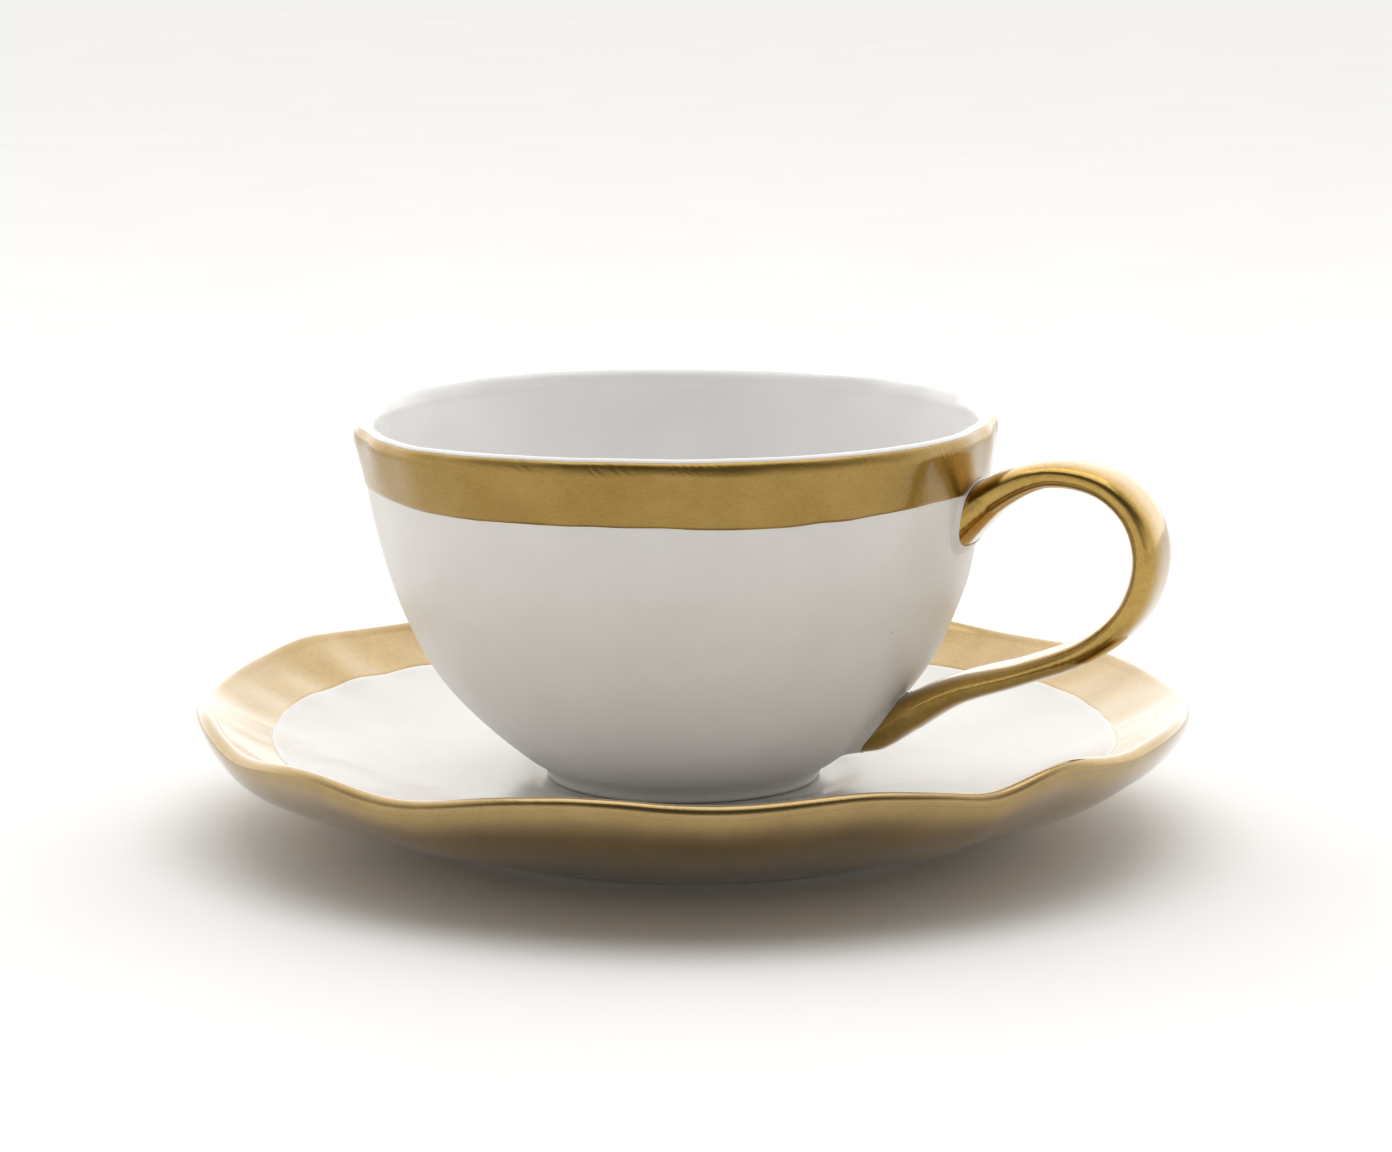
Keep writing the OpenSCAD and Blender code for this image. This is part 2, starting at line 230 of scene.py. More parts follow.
def saucer_outline():
    """The plate's outline from its foot ring outwards and back: underside, rim, slope and well."""
    clay_r = SAUCER_R - (GAP + GOLD_T)
    lip_z = SAUCER_H - EDGE_ROLL_R
    under = bezier([[FOOT_RING_R, PLATE_UNDER], [56.8, 5], [SAUCER_R - 1.3, 11.6], [clay_r, lip_z]], 90)
    turn = np.linspace(0, math.pi / 2, 20)[:, None]
    roll = np.array([clay_r - EDGE_ROLL_R, lip_z]) + EDGE_ROLL_R * np.hstack([np.cos(turn), np.sin(turn)])
    slope_top = [CREST_R - 1.6, SAUCER_H - 1.2]
    shoulder = bezier([roll[-1], [CREST_R - 0.4, SAUCER_H], [CREST_R - 1.0, SAUCER_H - 0.8], slope_top], 14)
    shelf_z = WELL_Z + WELL_DEPTH
    slope = bezier([[WELL_R + 5, shelf_z], [WELL_R + 30, shelf_z], [CREST_R - 12, 13.4], slope_top], 110)
    well = bezier([[WELL_R + 5, shelf_z], [WELL_R + 1, shelf_z], [WELL_R + 0.6, WELL_Z],
                   [WELL_R - 2.6, WELL_Z]], 24)
    return under, chain(roll, shoulder), slope[::-1], well


def saucer_lift(radius, angle):
    """Height added by the hand-made waves of the rim, which grow from the middle outwards."""
    share = np.clip((radius - WAVES_FROM_R) / (CREST_R - WAVES_FROM_R), 0, 1.1) ** 1.6
    return share * bumps(RIM_RISES, angle)


def rim_dents(radius, angle):
    """Broad dents that run outwards across the gilded slope, as fingers leave them."""
    rng = np.random.default_rng(13)
    total = np.zeros(radius.shape)
    for waves in range(15, 36):
        size = rng.uniform(0.3, 1)
        start = rng.uniform(0, 2 * math.pi)
        slant = rng.uniform(-0.03, 0.03)
        total += size * np.cos(waves * angle + start + radius * slant)
    window = np.exp(-((radius - DENTS_R) / DENTS_SPREAD) ** 2)
    return DENTS_SIZE * window * total


def saucer_grid(path_of, count):
    """A saucer piece's outlines at count angles; path_of(angles) gives a path of (radius, height) at each."""
    angle = angles_round(count)[:, None]
    path = path_of(angle[:, 0])
    r, z = path[..., 0], path[..., 1]
    x, y = r * np.cos(angle), r * np.sin(angle)
    level = np.stack([x, y, 0 * r + 10], -1)    # both faces of the plate share one unevenness
    reach = np.clip((r - 30) / 12, 0, 1)
    rough = reach * (0.06 * ripple(level, 24, 11) + 0.015 * ripple(level, 9, 12))
    return np.stack([x, y, z + saucer_lift(r, angle) + rough + rim_dents(r, angle)], -1)


def slope_to_edge(slope, outward):
    """Stations of the plate's slope on one side of the edge of the gilding, which moves with the angle."""
    radius, height = slope[::-1, 0], slope[::-1, 1]
    far = radius[-1] if outward else radius[0]
    steps = 60 if outward else 150

    def path_of(angles):
        waver = ripple(np.stack([60 * np.cos(angles), 60 * np.sin(angles), 0 * angles], -1), 7, 21)
        edge = CREST_R - SAUCER_BAND_W + bumps(RIM_EDGE, angles) + 0.07 * waver
        r = edge[:, None] + (far - edge[:, None]) * np.linspace(0, 1, steps)
        return np.stack([r, np.interp(r, radius, height)], -1)
    return path_of


def saucer_gilded_rim(under, rim, slope):
    """Gilding from the rolled edge down the slope."""
    edge = chain(under[-3:], rim)

    def path_of(angles):
        start = np.broadcast_to(edge, (len(angles),) + edge.shape)
        inner = slope_to_edge(slope, True)(angles)[:, ::-1]
        return coat_all(np.concatenate([start, inner[:, 1:]], 1), GAP, GAP + GOLD_T, False)
    return ring_solid("saucer_gilded_rim", saucer_grid(path_of, SAUCER_AROUND))


def saucer_white_glaze(slope, well, floor):
    """White glaze from the edge of the gilding to the middle of the well."""
    middle = chain(well, floor)[1:]

    def path_of(angles):
        outer = slope_to_edge(slope, False)(angles)
        inner = np.broadcast_to(middle, (len(angles),) + middle.shape)
        return coat_all(np.concatenate([outer, inner], 1), GAP, GAP + GLAZE_T)
    return poled_solid("saucer_white_glaze", saucer_grid(path_of, SAUCER_AROUND))


def saucer_gilded_underside(under):
    """Gilding on the outside of the plate, from the rolled edge in to the foot ring."""
    outline = coat_outline(under[:-2][::-1], -GAP, -GAP - GOLD_T, False)
    return ring_solid("saucer_gilded_underside", saucer_grid(all_round(outline), SAUCER_AROUND))


def saucer_foot():
    """The turned ring that the saucer stands on."""
    ring = np.array([[38.8, 0.25], [39.1, 0.02], [39.6, 0], [40.6, 0], [41.1, 0.05], [41.8, 0.3], [43.2, 0.8],
                     [44.9, PLATE_UNDER], [38.1, PLATE_UNDER], [38.4, 0.9]])
    angle = angles_round(240)[:, None]
    r, z = ring[:, 0], ring[:, 1]
    return ring_solid("saucer_foot", np.stack([r * np.cos(angle), r * np.sin(angle), z + 0 * angle], -1))


def make_saucer():
    under, rim, slope, well = saucer_outline()
    floor = np.array([[WELL_R - 2.6, WELL_Z], [WELL_R / 2, WELL_Z], [POLE_R, WELL_Z]])
    recess = np.array([[POLE_R, RECESS_Z], [36.0, RECESS_Z], [36.6, 3.7], [38.0, PLATE_UNDER]])
    clay = chain(recess, under, rim, slope, well, floor)
    return [
        poled_solid("saucer_clay", saucer_grid(all_round(clay), 300)),
        saucer_gilded_rim(under, rim, slope),
        saucer_white_glaze(slope, well, floor),
        saucer_gilded_underside(under),
        saucer_foot(),
    ]


# ---------------------------------------------------------------- cup
CUP_AROUND = 360                # outlines round the bowl
FLOOR_Z = CUP_FOOT_H + CUP_FLOOR
WALL = bezier([[FOOT_TOP_R, CUP_FOOT_H], [CUP_RIM_R - 10, 0.26 * CUP_H], [CUP_RIM_R - 4.3, 0.475 * CUP_H],
               [CUP_RIM_R, CUP_H - LIP_H]], 160)
LINER = bezier([[LINER_FLAT_R, FLOOR_Z], [38.6, FLOOR_Z + 1.6], [CUP_RIM_R - 7.3, 0.47 * CUP_H],
                [CUP_RIM_R - CUP_WALL, CUP_H - LIP_H]], 130)[::-1]
LINER_MIDDLE = np.array([[LINER_FLAT_R, FLOOR_Z], [9, FLOOR_Z], [POLE_R, FLOOR_Z]])


def cup_share(z):
    """How much of the lip's dips, rises and bulges reaches height z."""
    return np.maximum(0, z / CUP_H) ** 2


def cup_axis(z):
    """Where the leaning bowl's axis stands at height z."""
    return -CUP_LEAN * np.maximum(0, z - CUP_FOOT_H) / (CUP_H - CUP_FOOT_H)


def cup_grid(path_of, count):
    """A cup piece's outlines at count angles, in the cup's own frame."""
    angle = angles_round(count)[:, None]
    path = path_of(angle[:, 0])
    r, z = path[..., 0], path[..., 1]
    share = cup_share(z)
    base = np.stack([r * np.cos(angle), r * np.sin(angle), z], -1)
    firm = np.clip((z - CUP_FOOT_H) / 8, 0, 1)
    rough = firm * (0.14 * ripple(base, 30, 31) + (0.03 + 0.12 * share) * ripple(base, 13, 32))
    r = r + share * bumps(LIP_BULGES, angle) + rough
    x = r * np.cos(angle) + cup_axis(z)
    return np.stack([x, r * np.sin(angle), z + share * bumps(LIP_RISES, angle)], -1)


def standing(grid):
    """Points in the cup's frame moved to where the cup stands on the saucer."""
    return grid + np.array([CUP_X, 0, CUP_Z])


def lip_curve(first, last, count):
    """The rounded lip between two turns in degrees, from 0 outside to 180 inside."""
    turn = np.radians(np.linspace(first, last, count))[:, None]
    return np.hstack([CUP_RIM_R - CUP_WALL / 2 * (1 - np.cos(turn)), CUP_H - LIP_H + LIP_H * np.sin(turn)])


def cup_body():
    start = np.array([[POLE_R, CUP_FOOT_H], [FOOT_TOP_R, CUP_FOOT_H]])
    clay = chain(start, WALL, lip_curve(0, 180, 30), LINER, LINER_MIDDLE)
    return poled_solid("cup_body", standing(cup_grid(all_round(clay), CUP_AROUND)))


def cup_inner_glaze():
    """White glaze from the top of the lip to the middle of the floor."""
    path = chain(lip_curve(GOLD_LIP, 180, 24), LINER, LINER_MIDDLE)
    glaze = coat_outline(path, GAP, GAP + GLAZE_T)
    return poled_solid("cup_inner_glaze", standing(cup_grid(all_round(glaze), CUP_AROUND)))


def cup_gilded_band():
    """Gilding round the outside of the lip; its lower edge is painted by hand."""
    lip = lip_curve(0, GOLD_LIP, 8)[1:]
    wall_top = CUP_H - LIP_H

    def path_of(angles):
        jag = ripple(np.stack([52 * np.cos(angles), 52 * np.sin(angles), 0 * angles], -1), 6, 41)
        edge = CUP_H - CUP_BAND_H - bumps(BAND_EDGE, angles) + 0.04 * jag
        z = edge[:, None] + (wall_top - edge[:, None]) * np.linspace(0, 1, 40)
        wall = np.stack([np.interp(z, WALL[:, 1], WALL[:, 0]), z], -1)
        over = np.broadcast_to(lip, (len(angles),) + lip.shape)
        return coat_all(np.concatenate([wall, over], 1), GAP, GAP + GOLD_T)
    return ring_solid("cup_gilded_band", standing(cup_grid(path_of, 2 * CUP_AROUND)))


def cup_foot():
    """The short foot, softened where it stands."""
    inner, outer = CUP_FOOT_R - FOOT_WALL, CUP_FOOT_R
    stand = np.array([[inner - 1.8, CUP_FOOT_H], [inner - 0.5, 0.5], [inner - 0.2, 0.12], [inner + 0.2, 0],
                      [outer - 0.8, 0], [outer - 0.3, 0.12], [outer, 0.5]])
    flare = bezier([[outer, 0.5], [outer, 1.7], [outer + 0.7, 2.1], [FOOT_TOP_R - 0.1, CUP_FOOT_H]], 14)
    return ring_solid("cup_foot", standing(cup_grid(all_round(chain(stand, flare)), 240)))


def make_cup():
    return [cup_body(), cup_inner_glaze(), cup_gilded_band(), cup_foot()]


# ---------------------------------------------------------------- handle
# The strap's middle line: distance out from the cup's axis and height, at stations 0, 1, 2 and so on
STRAP_LINE = np.array([[43.4, 41.2], [53.4, 49.9], [62.4, 54], [71.3, 53.1], [77.3, 48.2], [79.3, 40.8],
                       [76.7, 32.7], [69.7, 26.3], [59.1, 21.8], [48.5, 18.2], [40.6, 13.9], [34, 9.4],
                       [26, 7.1]])
# Shares of the full width and thickness, each [station, share]
STRAP_WIDTHS = np.array([[0, 1.5], [1, 1.14], [2, 1.02], [3, 1], [8, 1], [10, 0.92], [11, 0.7], [12, 0.4]])
STRAP_DEPTHS = np.array([[0, 2.2], [1, 1.38], [2, 1.02], [3, 1], [4, 1.03], [5, 1.07], [6, 1.05], [7, 0.97],
                         [8, 0.92], [9, 1.08], [10, 1.38], [11, 1.2], [12, 0.5]])
STRAP_CORNER = 0.72             # below 1, the strap's section is squarer than an ellipse
STRAP_SIDES = 72
STRAP_STEPS = 260
STRAP_END = len(STRAP_LINE) - 1
UPPER_ROOT = (0, 2)             # a station inside the wall and one outside it
LOWER_ROOT = (STRAP_END, 8.5)
SEAM_REACH = 1.1                # how far the slip spreads on the wall
SEAM_SUNK = 0.3


def spline(u):
    """Catmull-Rom curve through STRAP_LINE at stations u."""
    i = np.clip(np.floor(u).astype(int), 0, STRAP_END - 1)
    t = (u - i)[..., None]
    p, q = STRAP_LINE[np.maximum(i - 1, 0)], STRAP_LINE[i]
    r, s = STRAP_LINE[i + 1], STRAP_LINE[np.minimum(i + 2, STRAP_END)]
    return 0.5 * (2 * q + t * (r - p) + t ** 2 * (2 * p - 5 * q + 4 * r - s)
                  + t ** 3 * (3 * q - p - 3 * r + s))


def strap_point(u, side, grow=0.0):
    """Points on the strap at stations u and turns side round it from the outer face, in the cup's frame."""
    d = spline(u + 0.05) - spline(u - 0.05)
    d /= np.linalg.norm(d, axis=-1)[..., None]
    depth = HANDLE_T * np.interp(u, STRAP_DEPTHS[:, 0], STRAP_DEPTHS[:, 1]) / 2 + grow
    width = HANDLE_W * np.interp(u, STRAP_WIDTHS[:, 0], STRAP_WIDTHS[:, 1]) / 2 + grow
    c, s = np.cos(side), np.sin(side)
    h = depth * np.sign(c) * np.abs(c) ** STRAP_CORNER
    w = width * np.sign(s) * np.abs(s) ** STRAP_CORNER
    q = spline(u) + h[..., None] * np.stack([-d[..., 1], d[..., 0]], -1)
    ct, st = math.cos(HANDLE_TURN), math.sin(HANDLE_TURN)
    return np.stack([q[..., 0] * ct + w * st, -q[..., 0] * st + w * ct, q[..., 1]], -1)


def wall_radius(p):
    """The angle of points round the bowl's axis, and the bowl's outer radius there."""
    angle = np.arctan2(p[..., 1], p[..., 0] - cup_axis(p[..., 2]))
    share = cup_share(p[..., 2])
    z = p[..., 2] - share * bumps(LIP_RISES, angle)
    return angle, np.interp(z, WALL[:, 1], WALL[:, 0]) + share * bumps(LIP_BULGES, angle)


def wall_clear(p):
    """How far points are outside the bowl's wall."""
    return np.hypot(p[..., 0] - cup_axis(p[..., 2]), p[..., 1]) - wall_radius(p)[1]


def to_wall(p, clear):
    """Points moved level to a distance clear outside the wall."""
    angle, r = wall_radius(p)
    r = r + clear
    return np.stack([r * np.cos(angle) + cup_axis(p[..., 2]), r * np.sin(angle), p[..., 2]], -1)


def leaving(sides, root, clear):
    """Station where each side of the strap is clear outside the wall, found by halving."""
    low, high = np.full(sides.shape, float(root[0])), np.full(sides.shape, float(root[1]))
    for _ in range(30):
        middle = (low + high) / 2
        out = wall_clear(strap_point(middle, sides)) > clear
        low, high = np.where(out, low, middle), np.where(out, middle, high)
    return (low + high) / 2


def strap_run(sides, upper, lower, grow):
    """Points along every side between two stations."""
    u = upper[:, None] + (lower - upper)[:, None] * np.linspace(0, 1, STRAP_STEPS)
    return strap_point(u, sides[:, None] + 0 * u, grow)


def handle_clay(sides, upper, lower):
    """The strap, sunk a millimetre into the wall at both ends."""
    sunk_upper = strap_point(leaving(sides, UPPER_ROOT, -1.0), sides)
    sunk_lower = strap_point(leaving(sides, LOWER_ROOT, -1.0), sides)
    run = strap_run(sides, upper, lower, 0)
    return poled_solid("handle_clay", standing(np.concatenate([sunk_upper[:, None], run,
                                                               sunk_lower[:, None]], 1)))


def handle_gilded(sides, upper, lower):
    """Gilding all round the strap between two stations."""
    outer = strap_run(sides, upper, lower, GAP + GOLD_T)
    inner = strap_run(sides, upper, lower, GAP)
    return ring_solid("handle_gilded", standing(np.concatenate([inner[:, ::-1], outer], 1)))


def root_seam(name, sides, stations, climbed):
    """A fillet of slip round a root: hollow, from the wall up onto the strap."""
    reach = strap_point(stations, sides, SEAM_REACH)
    foot = strap_point(stations, sides, 2 * GAP + GOLD_T)
    top = strap_point(climbed, sides, 2 * GAP + GOLD_T + 0.02)
    spread, corner = to_wall(reach, 0.02), to_wall(foot, 0.05)
    sunk, edge = to_wall(foot, -SEAM_SUNK), to_wall(reach, -SEAM_SUNK)
    t = np.linspace(0, 1, 9)[:, None]
    rings = []
    for k in range(len(sides)):
        bend = 0.75 * corner[k] + 0.25 * (top[k] + spread[k]) / 2
        arc = (1 - t) ** 2 * spread[k] + 2 * t * (1 - t) * bend + t ** 2 * top[k]
        rings.append(np.concatenate([arc, [sunk[k], edge[k]]]))
    return ring_solid(name, standing(np.stack(rings)))


def make_handle():
    sides = -angles_round(STRAP_SIDES)
    upper, lower = leaving(sides, UPPER_ROOT, 0.1), leaving(sides, LOWER_ROOT, 0.1)
    # the slip is built up most under the strap at the lower root, and the gilding stops short of it
    clear = 1.3 + 0.9 * np.cos(sides)
    return [
        handle_clay(sides, upper, lower),
        handle_gilded(sides, upper, leaving(sides, LOWER_ROOT, clear)),
        root_seam("handle_seam_upper", sides, upper, leaving(sides, UPPER_ROOT, 0.9)),
        root_seam("handle_seam_lower", sides, lower, leaving(sides, LOWER_ROOT, clear + 0.3)),
    ]


# ---------------------------------------------------------------- materials
def new_material(name):
    """An empty material with its node tree and its shader."""
    material = bpy.data.materials.new(name)
    material.use_nodes = True
    tree = material.node_tree
    tree.nodes.clear()
    shader = tree.nodes.new("ShaderNodeBsdfPrincipled")
    output = tree.nodes.new("ShaderNodeOutputMaterial")
    tree.links.new(shader.outputs[0], output.inputs[0])
    return material, tree, shader


def add(tree, kind, inputs=None, **settings):
    """A node with its settings, its input values and its incoming links."""
    node = tree.nodes.new(kind)
    for key, value in settings.items():
        setattr(node, key, value)
    for key, value in (inputs or {}).items():
        if isinstance(value, bpy.types.NodeSocket):
            tree.links.new(value, node.inputs[key])
        else:
            node.inputs[key].default_value = value
    return node


def place(tree, stretch=(1, 1, 1)):
    """Object coordinates in millimetres, stretched."""
    coords = add(tree, "ShaderNodeTexCoord")
    scale = [s / MM for s in stretch]
    return add(tree, "ShaderNodeMapping", {"Vector": coords.outputs["Object"], "Scale": scale}).outputs[0]


def noise(tree, where, size, detail=3.0, rough=0.5):
    """Noise with features of about size millimetres."""
    return add(tree, "ShaderNodeTexNoise",
               {"Vector": where, "Scale": 1.0 / size, "Detail": detail, "Roughness": rough}).outputs["Fac"]


def ramp(tree, factor, stops):
    """A colour ramp; each stop is (position, grey or colour)."""
    node = add(tree, "ShaderNodeValToRGB", {"Fac": factor})
    while len(node.color_ramp.elements) < len(stops):
        node.color_ramp.elements.new(0.5)
    for element, (at, colour) in zip(node.color_ramp.elements, stops):
        element.position = at
        element.color = (colour,) * 3 + (1,) if isinstance(colour, (int, float)) else tuple(colour) + (1,)
    return node.outputs["Color"]


def mix(tree, factor, a, b, blend="MIX"):
    """Two colours mixed; factor and colours are values or sockets."""
    node = add(tree, "ShaderNodeMix", data_type="RGBA", blend_type=blend)
    for socket, value in ((node.inputs[0], factor), (node.inputs[6], a), (node.inputs[7], b)):
        if isinstance(value, bpy.types.NodeSocket):
            tree.links.new(value, socket)
        elif isinstance(value, (int, float)):
            socket.default_value = value
        else:
            socket.default_value = tuple(value) + (1,)
    return node.outputs[2]


def span(tree, value, low, high, out_low=0.0, out_high=1.0):
    """A value's range from low to high carried over to another range, and held at its ends."""
    return add(tree, "ShaderNodeMapRange", {"Value": value, "From Min": low, "From Max": high,
                                            "To Min": out_low, "To Max": out_high}).outputs[0]


def maths(tree, operation, a, b=0.0):
    return add(tree, "ShaderNodeMath", {0: a, 1: b}, operation=operation).outputs[0]


def bump(tree, height, distance, strength=1.0, after=None):
    """Relief of distance millimetres, on top of the relief in after."""
    inputs = {"Height": height, "Distance": distance * MM, "Strength": strength}
    if after is not None:
        inputs["Normal"] = after
    return add(tree, "ShaderNodeBump", inputs).outputs[0]


def satin_white():
    """The outside of the bowl: satin off-white glaze with soft mottling and a few pinholes."""
    material, tree, shader = new_material("satin_white_glaze")
    where = place(tree)
    mottle = noise(tree, where, 14, 4, 0.6)
    colour = ramp(tree, mottle, [(0.3, (0.82, 0.795, 0.76)), (0.7, (0.86, 0.84, 0.805))])
    cells = add(tree, "ShaderNodeTexVoronoi", {"Vector": where, "Scale": 1 / 7.0, "Randomness": 1.0})
    pin = span(tree, cells.outputs["Distance"], 0.012, 0.035)
    keep = span(tree, noise(tree, where, 9, 1), 0.56, 0.58, 1.0, 0.0)
    hole = maths(tree, "MAXIMUM", pin, keep)
    tree.links.new(mix(tree, hole, (0.42, 0.36, 0.30), colour), shader.inputs["Base Color"])
    fine = noise(tree, where, 0.8, 4, 0.6)
    tree.links.new(span(tree, fine, 0.3, 0.7, 0.34, 0.44), shader.inputs["Roughness"])
    shader.inputs["IOR"].default_value = 1.5
    shader.inputs["Coat Weight"].default_value = 0.15
    shader.inputs["Coat Roughness"].default_value = 0.3
    soft = bump(tree, noise(tree, where, 5, 2), 0.10, 0.5)
    grain = bump(tree, fine, 0.012, 0.6, soft)
    tree.links.new(bump(tree, hole, 0.06, 0.8, grain), shader.inputs["Normal"])
    return material


def white_glaze(name, light):
    """The liner and the middle of the saucer: glossy white glaze that has flowed a little. Its lightness is
    set for each piece as painted light and shade.
    """
    material, tree, shader = new_material(name)
    where = place(tree)
    # light: this copy's lightness, which paints light and shade; the saucer's copy is darker, the liner's
    # lighter
    pale = (light, light * 0.995, light * 0.985)
    deep = (light * 0.96, light * 0.95, light * 0.935)
    colour = ramp(tree, noise(tree, where, 22, 3), [(0.3, deep), (0.7, pale)])
    tree.links.new(colour, shader.inputs["Base Color"])
    tree.links.new(span(tree, noise(tree, where, 3, 3), 0.3, 0.7, 0.18, 0.25), shader.inputs["Roughness"])
    shader.inputs["IOR"].default_value = 1.5
    shader.inputs["Coat Weight"].default_value = 0.1
    shader.inputs["Coat Roughness"].default_value = 0.08
    tree.links.new(bump(tree, noise(tree, where, 9, 2), 0.05, 0.5), shader.inputs["Normal"])
    return material


def gold_colour(tree, where, cloud, strokes, level):
    """Cloudy gold, thinner along the strokes and brown where it is rubbed away."""
    tone = ramp(tree, cloud, [(0.30, (0.33, 0.20, 0.035)), (0.5, (0.39, 0.245, 0.05)),
                              (0.72, (0.45, 0.295, 0.075))])
    thin = ramp(tree, strokes, [(0.35, (0.24, 0.13, 0.02)), (0.55, (0.42, 0.265, 0.06))])
    # level sets this copy's gold lightness for each piece, as painted light: the handle's copy is made
    # lighter
    base = mix(tree, 1.0, mix(tree, 0.3, tone, thin), (level, level, level), "MULTIPLY")
    rubbed = span(tree, noise(tree, where, 2.2, 5, 0.7), 0.70, 0.76)
    return mix(tree, rubbed, base, (0.26, 0.11, 0.03))


def gilding(name, stretch, level, coat_ior, roughness, relief):
    """Gold lustre brushed on by hand: combed strokes in patches, over a cloudy tone."""
    material, tree, shader = new_material(name)
    where = place(tree)
    strokes = noise(tree, place(tree, stretch), 0.9, 5, 0.65)
    cloud = noise(tree, where, 9, 4, 0.6)
    combed = add(tree, "ShaderNodeTexWave", {"Vector": where, "Scale": 0.42, "Distortion": 9.0, "Detail": 3.0,
                                             "Detail Scale": 0.5}, bands_direction="DIAGONAL").outputs["Fac"]
    patch = span(tree, noise(tree, where, 6, 2), 0.42, 0.62)
    comb = maths(tree, "MULTIPLY", combed, patch)
    # level: the lightness of this copy of the gold, which is painted light on the handle
    tree.links.new(gold_colour(tree, where, cloud, strokes, level), shader.inputs["Base Color"])
    shader.inputs["Metallic"].default_value = 1.0
    cloudy = span(tree, cloud, 0.3, 0.7, roughness - 0.02, roughness + 0.02)
    rough = maths(tree, "ADD", cloudy, span(tree, strokes, 0.3, 0.7, -0.015, 0.015))
    rough = maths(tree, "ADD", rough, maths(tree, "MULTIPLY", comb, 0.015))
    tree.links.new(rough, shader.inputs["Roughness"])
    shader.inputs["Coat Weight"].default_value = 1.0
    shader.inputs["Coat IOR"].default_value = coat_ior
    shader.inputs["Coat Roughness"].default_value = 0.12
    leaf = bump(tree, noise(tree, where, 3.2, 3, 0.6), 0.035 * relief, 0.4)
    brushed = bump(tree, strokes, 0.010 * relief, 0.6, leaf)
    tree.links.new(bump(tree, comb, 0.014 * relief, 0.7, brushed), shader.inputs["Normal"])
    return material


def fired_clay():
    """Bare clay under the feet: matt, sandy, a little stained."""
    material, tree, shader = new_material("bare_fired_clay")
    where = place(tree)
    sand = noise(tree, where, 0.35, 5, 0.7)
    colour = ramp(tree, sand, [(0.35, (0.50, 0.44, 0.36)), (0.6, (0.66, 0.61, 0.53))])
    tree.links.new(colour, shader.inputs["Base Color"])
    shader.inputs["Roughness"].default_value = 0.85
    tree.links.new(bump(tree, sand, 0.05, 0.8), shader.inputs["Normal"])
    return material


def pale_floor():
    """A matt floor, nearly white, that takes a soft shadow."""
    material, tree, shader = new_material("pale_floor")
    where = place(tree)
    tone = ramp(tree, noise(tree, where, 60, 2), [(0.3, 0.96), (0.7, 0.98)])
    tree.links.new(tone, shader.inputs["Base Color"])
    shader.inputs["Roughness"].default_value = 0.9
    shader.inputs["Specular IOR Level"].default_value = 0.1
    return material


# ---------------------------------------------------------------- the room
CAMERA_AT = (0.00057, -0.7264, 0.1749)
CAMERA_DOWN = 10.388            # degrees below level
SENSOR = 36                     # width in millimetres
FOCAL = 116.0948                # in millimetres
FLOOR_REACH = 7.0               # from the middle to each side, in metres
LAMP_AT = (0, -0.05, 1.2)
LAMP_SIZE = (1.2, 1.0)
LAMP_POWER = 4.2
# Light from each depth, from 0 on the camera's side to 1 behind the object
DEPTH_LEVELS = [(0.0, 0.04), (0.08, 0.05), (0.30, 0.12), (0.42, 0.30), (0.60, 0.68), (0.75, 0.95),
                (0.88, 1.0)]
WING_LIGHT = (0.6, 0.6, 0.6)
ROOM_TINT = (1.0, 0.985, 0.96)
ROOM_STRENGTH = 1.72


def make_camera():
    data = bpy.data.cameras.new("camera")
    data.lens = FOCAL
    data.sensor_width = SENSOR
    data.clip_start = 0.01
    data.clip_end = 50
    camera = bpy.data.objects.new("camera", data)
    camera.location = CAMERA_AT
    camera.rotation_euler = (math.radians(90 - CAMERA_DOWN), 0, 0)
    bpy.context.scene.collection.objects.link(camera)
    bpy.context.scene.camera = camera


def make_floor():
    work = bmesh.new()
    bmesh.ops.create_grid(work, x_segments=8, y_segments=8, size=FLOOR_REACH)
    mesh = bpy.data.meshes.new("floor")
    work.to_mesh(mesh)
    work.free()
    floor = bpy.data.objects.new("floor", mesh)
    bpy.context.scene.collection.objects.link(floor)
    mesh.materials.append(pale_floor())


def make_world():
    """Soft studio light: bright behind the object, dark on the camera's side but for two low wings."""
    world = bpy.data.worlds.new("studio")
    world.use_nodes = True
    bpy.context.scene.world = world
    tree = world.node_tree
    tree.nodes.clear()
    coords = add(tree, "ShaderNodeTexCoord")
    split = add(tree, "ShaderNodeSeparateXYZ", {"Vector": coords.outputs["Generated"]})
    across, depth, up = split.outputs
    level = ramp(tree, span(tree, depth, -1, 1), DEPTH_LEVELS)
    aside = span(tree, maths(tree, "ABSOLUTE", across), 0.15, 0.7, 0.35, 1.0)
    low = span(tree, maths(tree, "ABSOLUTE", up), 0.5, 0.05)
    ahead = span(tree, depth, 0.2, -0.3)
    wings = maths(tree, "MULTIPLY", maths(tree, "MULTIPLY", aside, low), ahead)
    level = mix(tree, 1.0, level, mix(tree, wings, (0, 0, 0), WING_LIGHT), "ADD")
    tinted = mix(tree, 1.0, level, ROOM_TINT, "MULTIPLY")
    shade = add(tree, "ShaderNodeBackground", {"Color": tinted, "Strength": ROOM_STRENGTH})
    output = add(tree, "ShaderNodeOutputWorld")
    tree.links.new(shade.outputs[0], output.inputs[0])


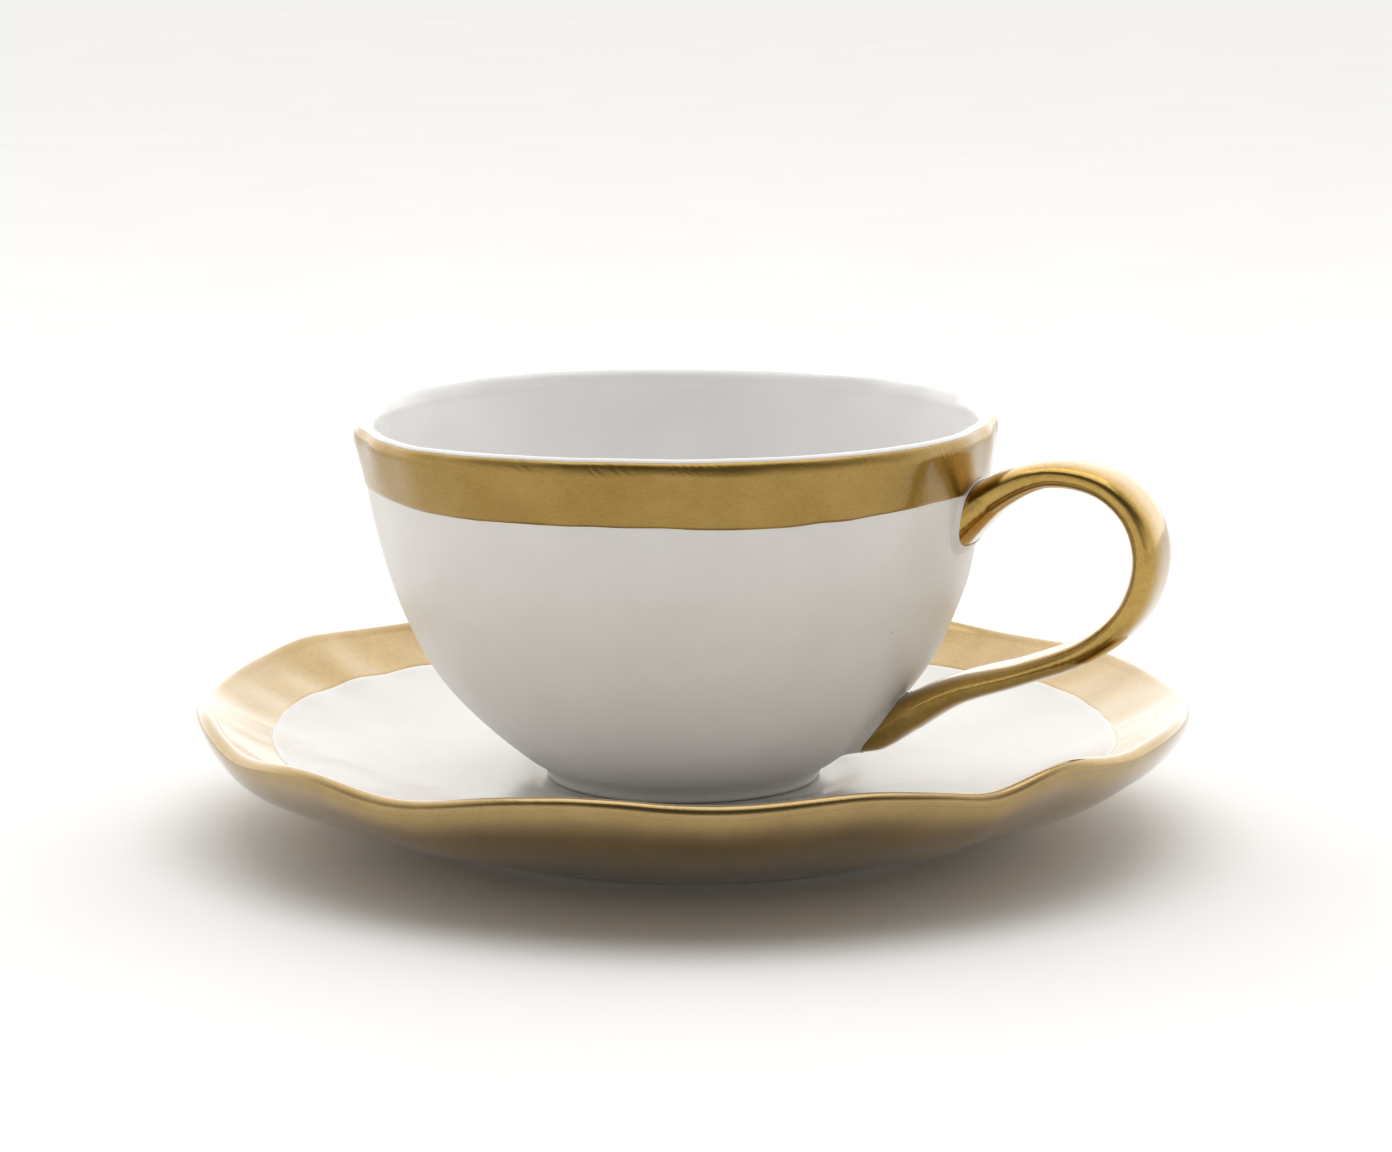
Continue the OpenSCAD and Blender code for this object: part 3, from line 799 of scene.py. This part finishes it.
def make_lamp():
    """A broad lamp overhead, aimed at the middle of the saucer."""
    data = bpy.data.lights.new("overhead", "AREA")
    data.shape = "RECTANGLE"
    data.size, data.size_y = LAMP_SIZE
    data.energy = LAMP_POWER
    lamp = bpy.data.objects.new("overhead", data)
    lamp.location = LAMP_AT
    aim = Vector((0, 0, 0)) - Vector(LAMP_AT)
    lamp.rotation_euler = aim.to_track_quat("-Z", "Y").to_euler()
    bpy.context.scene.collection.objects.link(lamp)


# ---------------------------------------------------------------- the pieces, put together
PIECES = {  # piece: (body, record slot, material, CAD nodes it stands for)
    "saucer_clay": ("saucer", "fired_clay", "clay", ["saucer_plate"]),
    "saucer_foot": ("saucer", "fired_clay", "clay", ["saucer_foot_ring"]),
    "saucer_white_glaze": ("saucer", "white_glaze", "gloss_saucer", ["saucer_glaze"]),
    "saucer_gilded_rim": ("saucer", "gilding", "gold_saucer", ["saucer_gold_rim"]),
    "saucer_gilded_underside": ("saucer", "gilding", "gold_saucer", ["saucer_gold_underside"]),
    "cup_body": ("cup", "satin_white", "satin", ["cup_bowl"]),
    "cup_foot": ("cup", "satin_white", "satin", ["cup_foot_ring"]),
    "cup_inner_glaze": ("cup", "white_glaze", "gloss_cup", ["cup_liner_glaze"]),
    "cup_gilded_band": ("cup", "gilding", "gold_band", ["cup_gold_band"]),
    "handle_clay": ("cup", "fired_clay", "clay", ["cup_handle"]),
    "handle_gilded": ("cup", "gilding", "gold_handle", ["handle_gilding"]),
    "handle_seam_upper": ("cup", "satin_white", "satin", ["handle_upper_seam"]),
    "handle_seam_lower": ("cup", "satin_white", "satin", ["handle_lower_seam"]),
}


def make_materials():
    return {
        "satin": satin_white(),
        "clay": fired_clay(),
        # lit and shaded copies of one white glaze: the liner's is made lighter and the saucer's darker, as
        # painted light and shade
        "gloss_cup": white_glaze("liner_glaze", 0.91),
        "gloss_saucer": white_glaze("saucer_glaze", 0.78),
        # copies of one gold lustre, each with its own level; the handle's is made lighter, as painted light
        "gold_band": gilding("gilding_band", (1, 1, 4), 0.86, 1.36, 0.32, 2.4),
        "gold_saucer": gilding("gilding_saucer", (1, 1, 5), 0.85, 1.75, 0.21, 0.8),
        "gold_handle": gilding("gilding_handle", (1, 1, 1), 1.14, 1.4, 0.19, 1.0),
    }


def main():
    make_camera()
    make_floor()
    make_world()
    make_lamp()
    bpy.context.scene.view_settings.view_transform = "Standard"
    materials = make_materials()
    for piece in make_saucer() + make_cup() + make_handle():
        body, slot, material, nodes = PIECES[piece.name]
        piece.data.materials.append(materials[material])
        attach(piece, body)
        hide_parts(*nodes)


main()
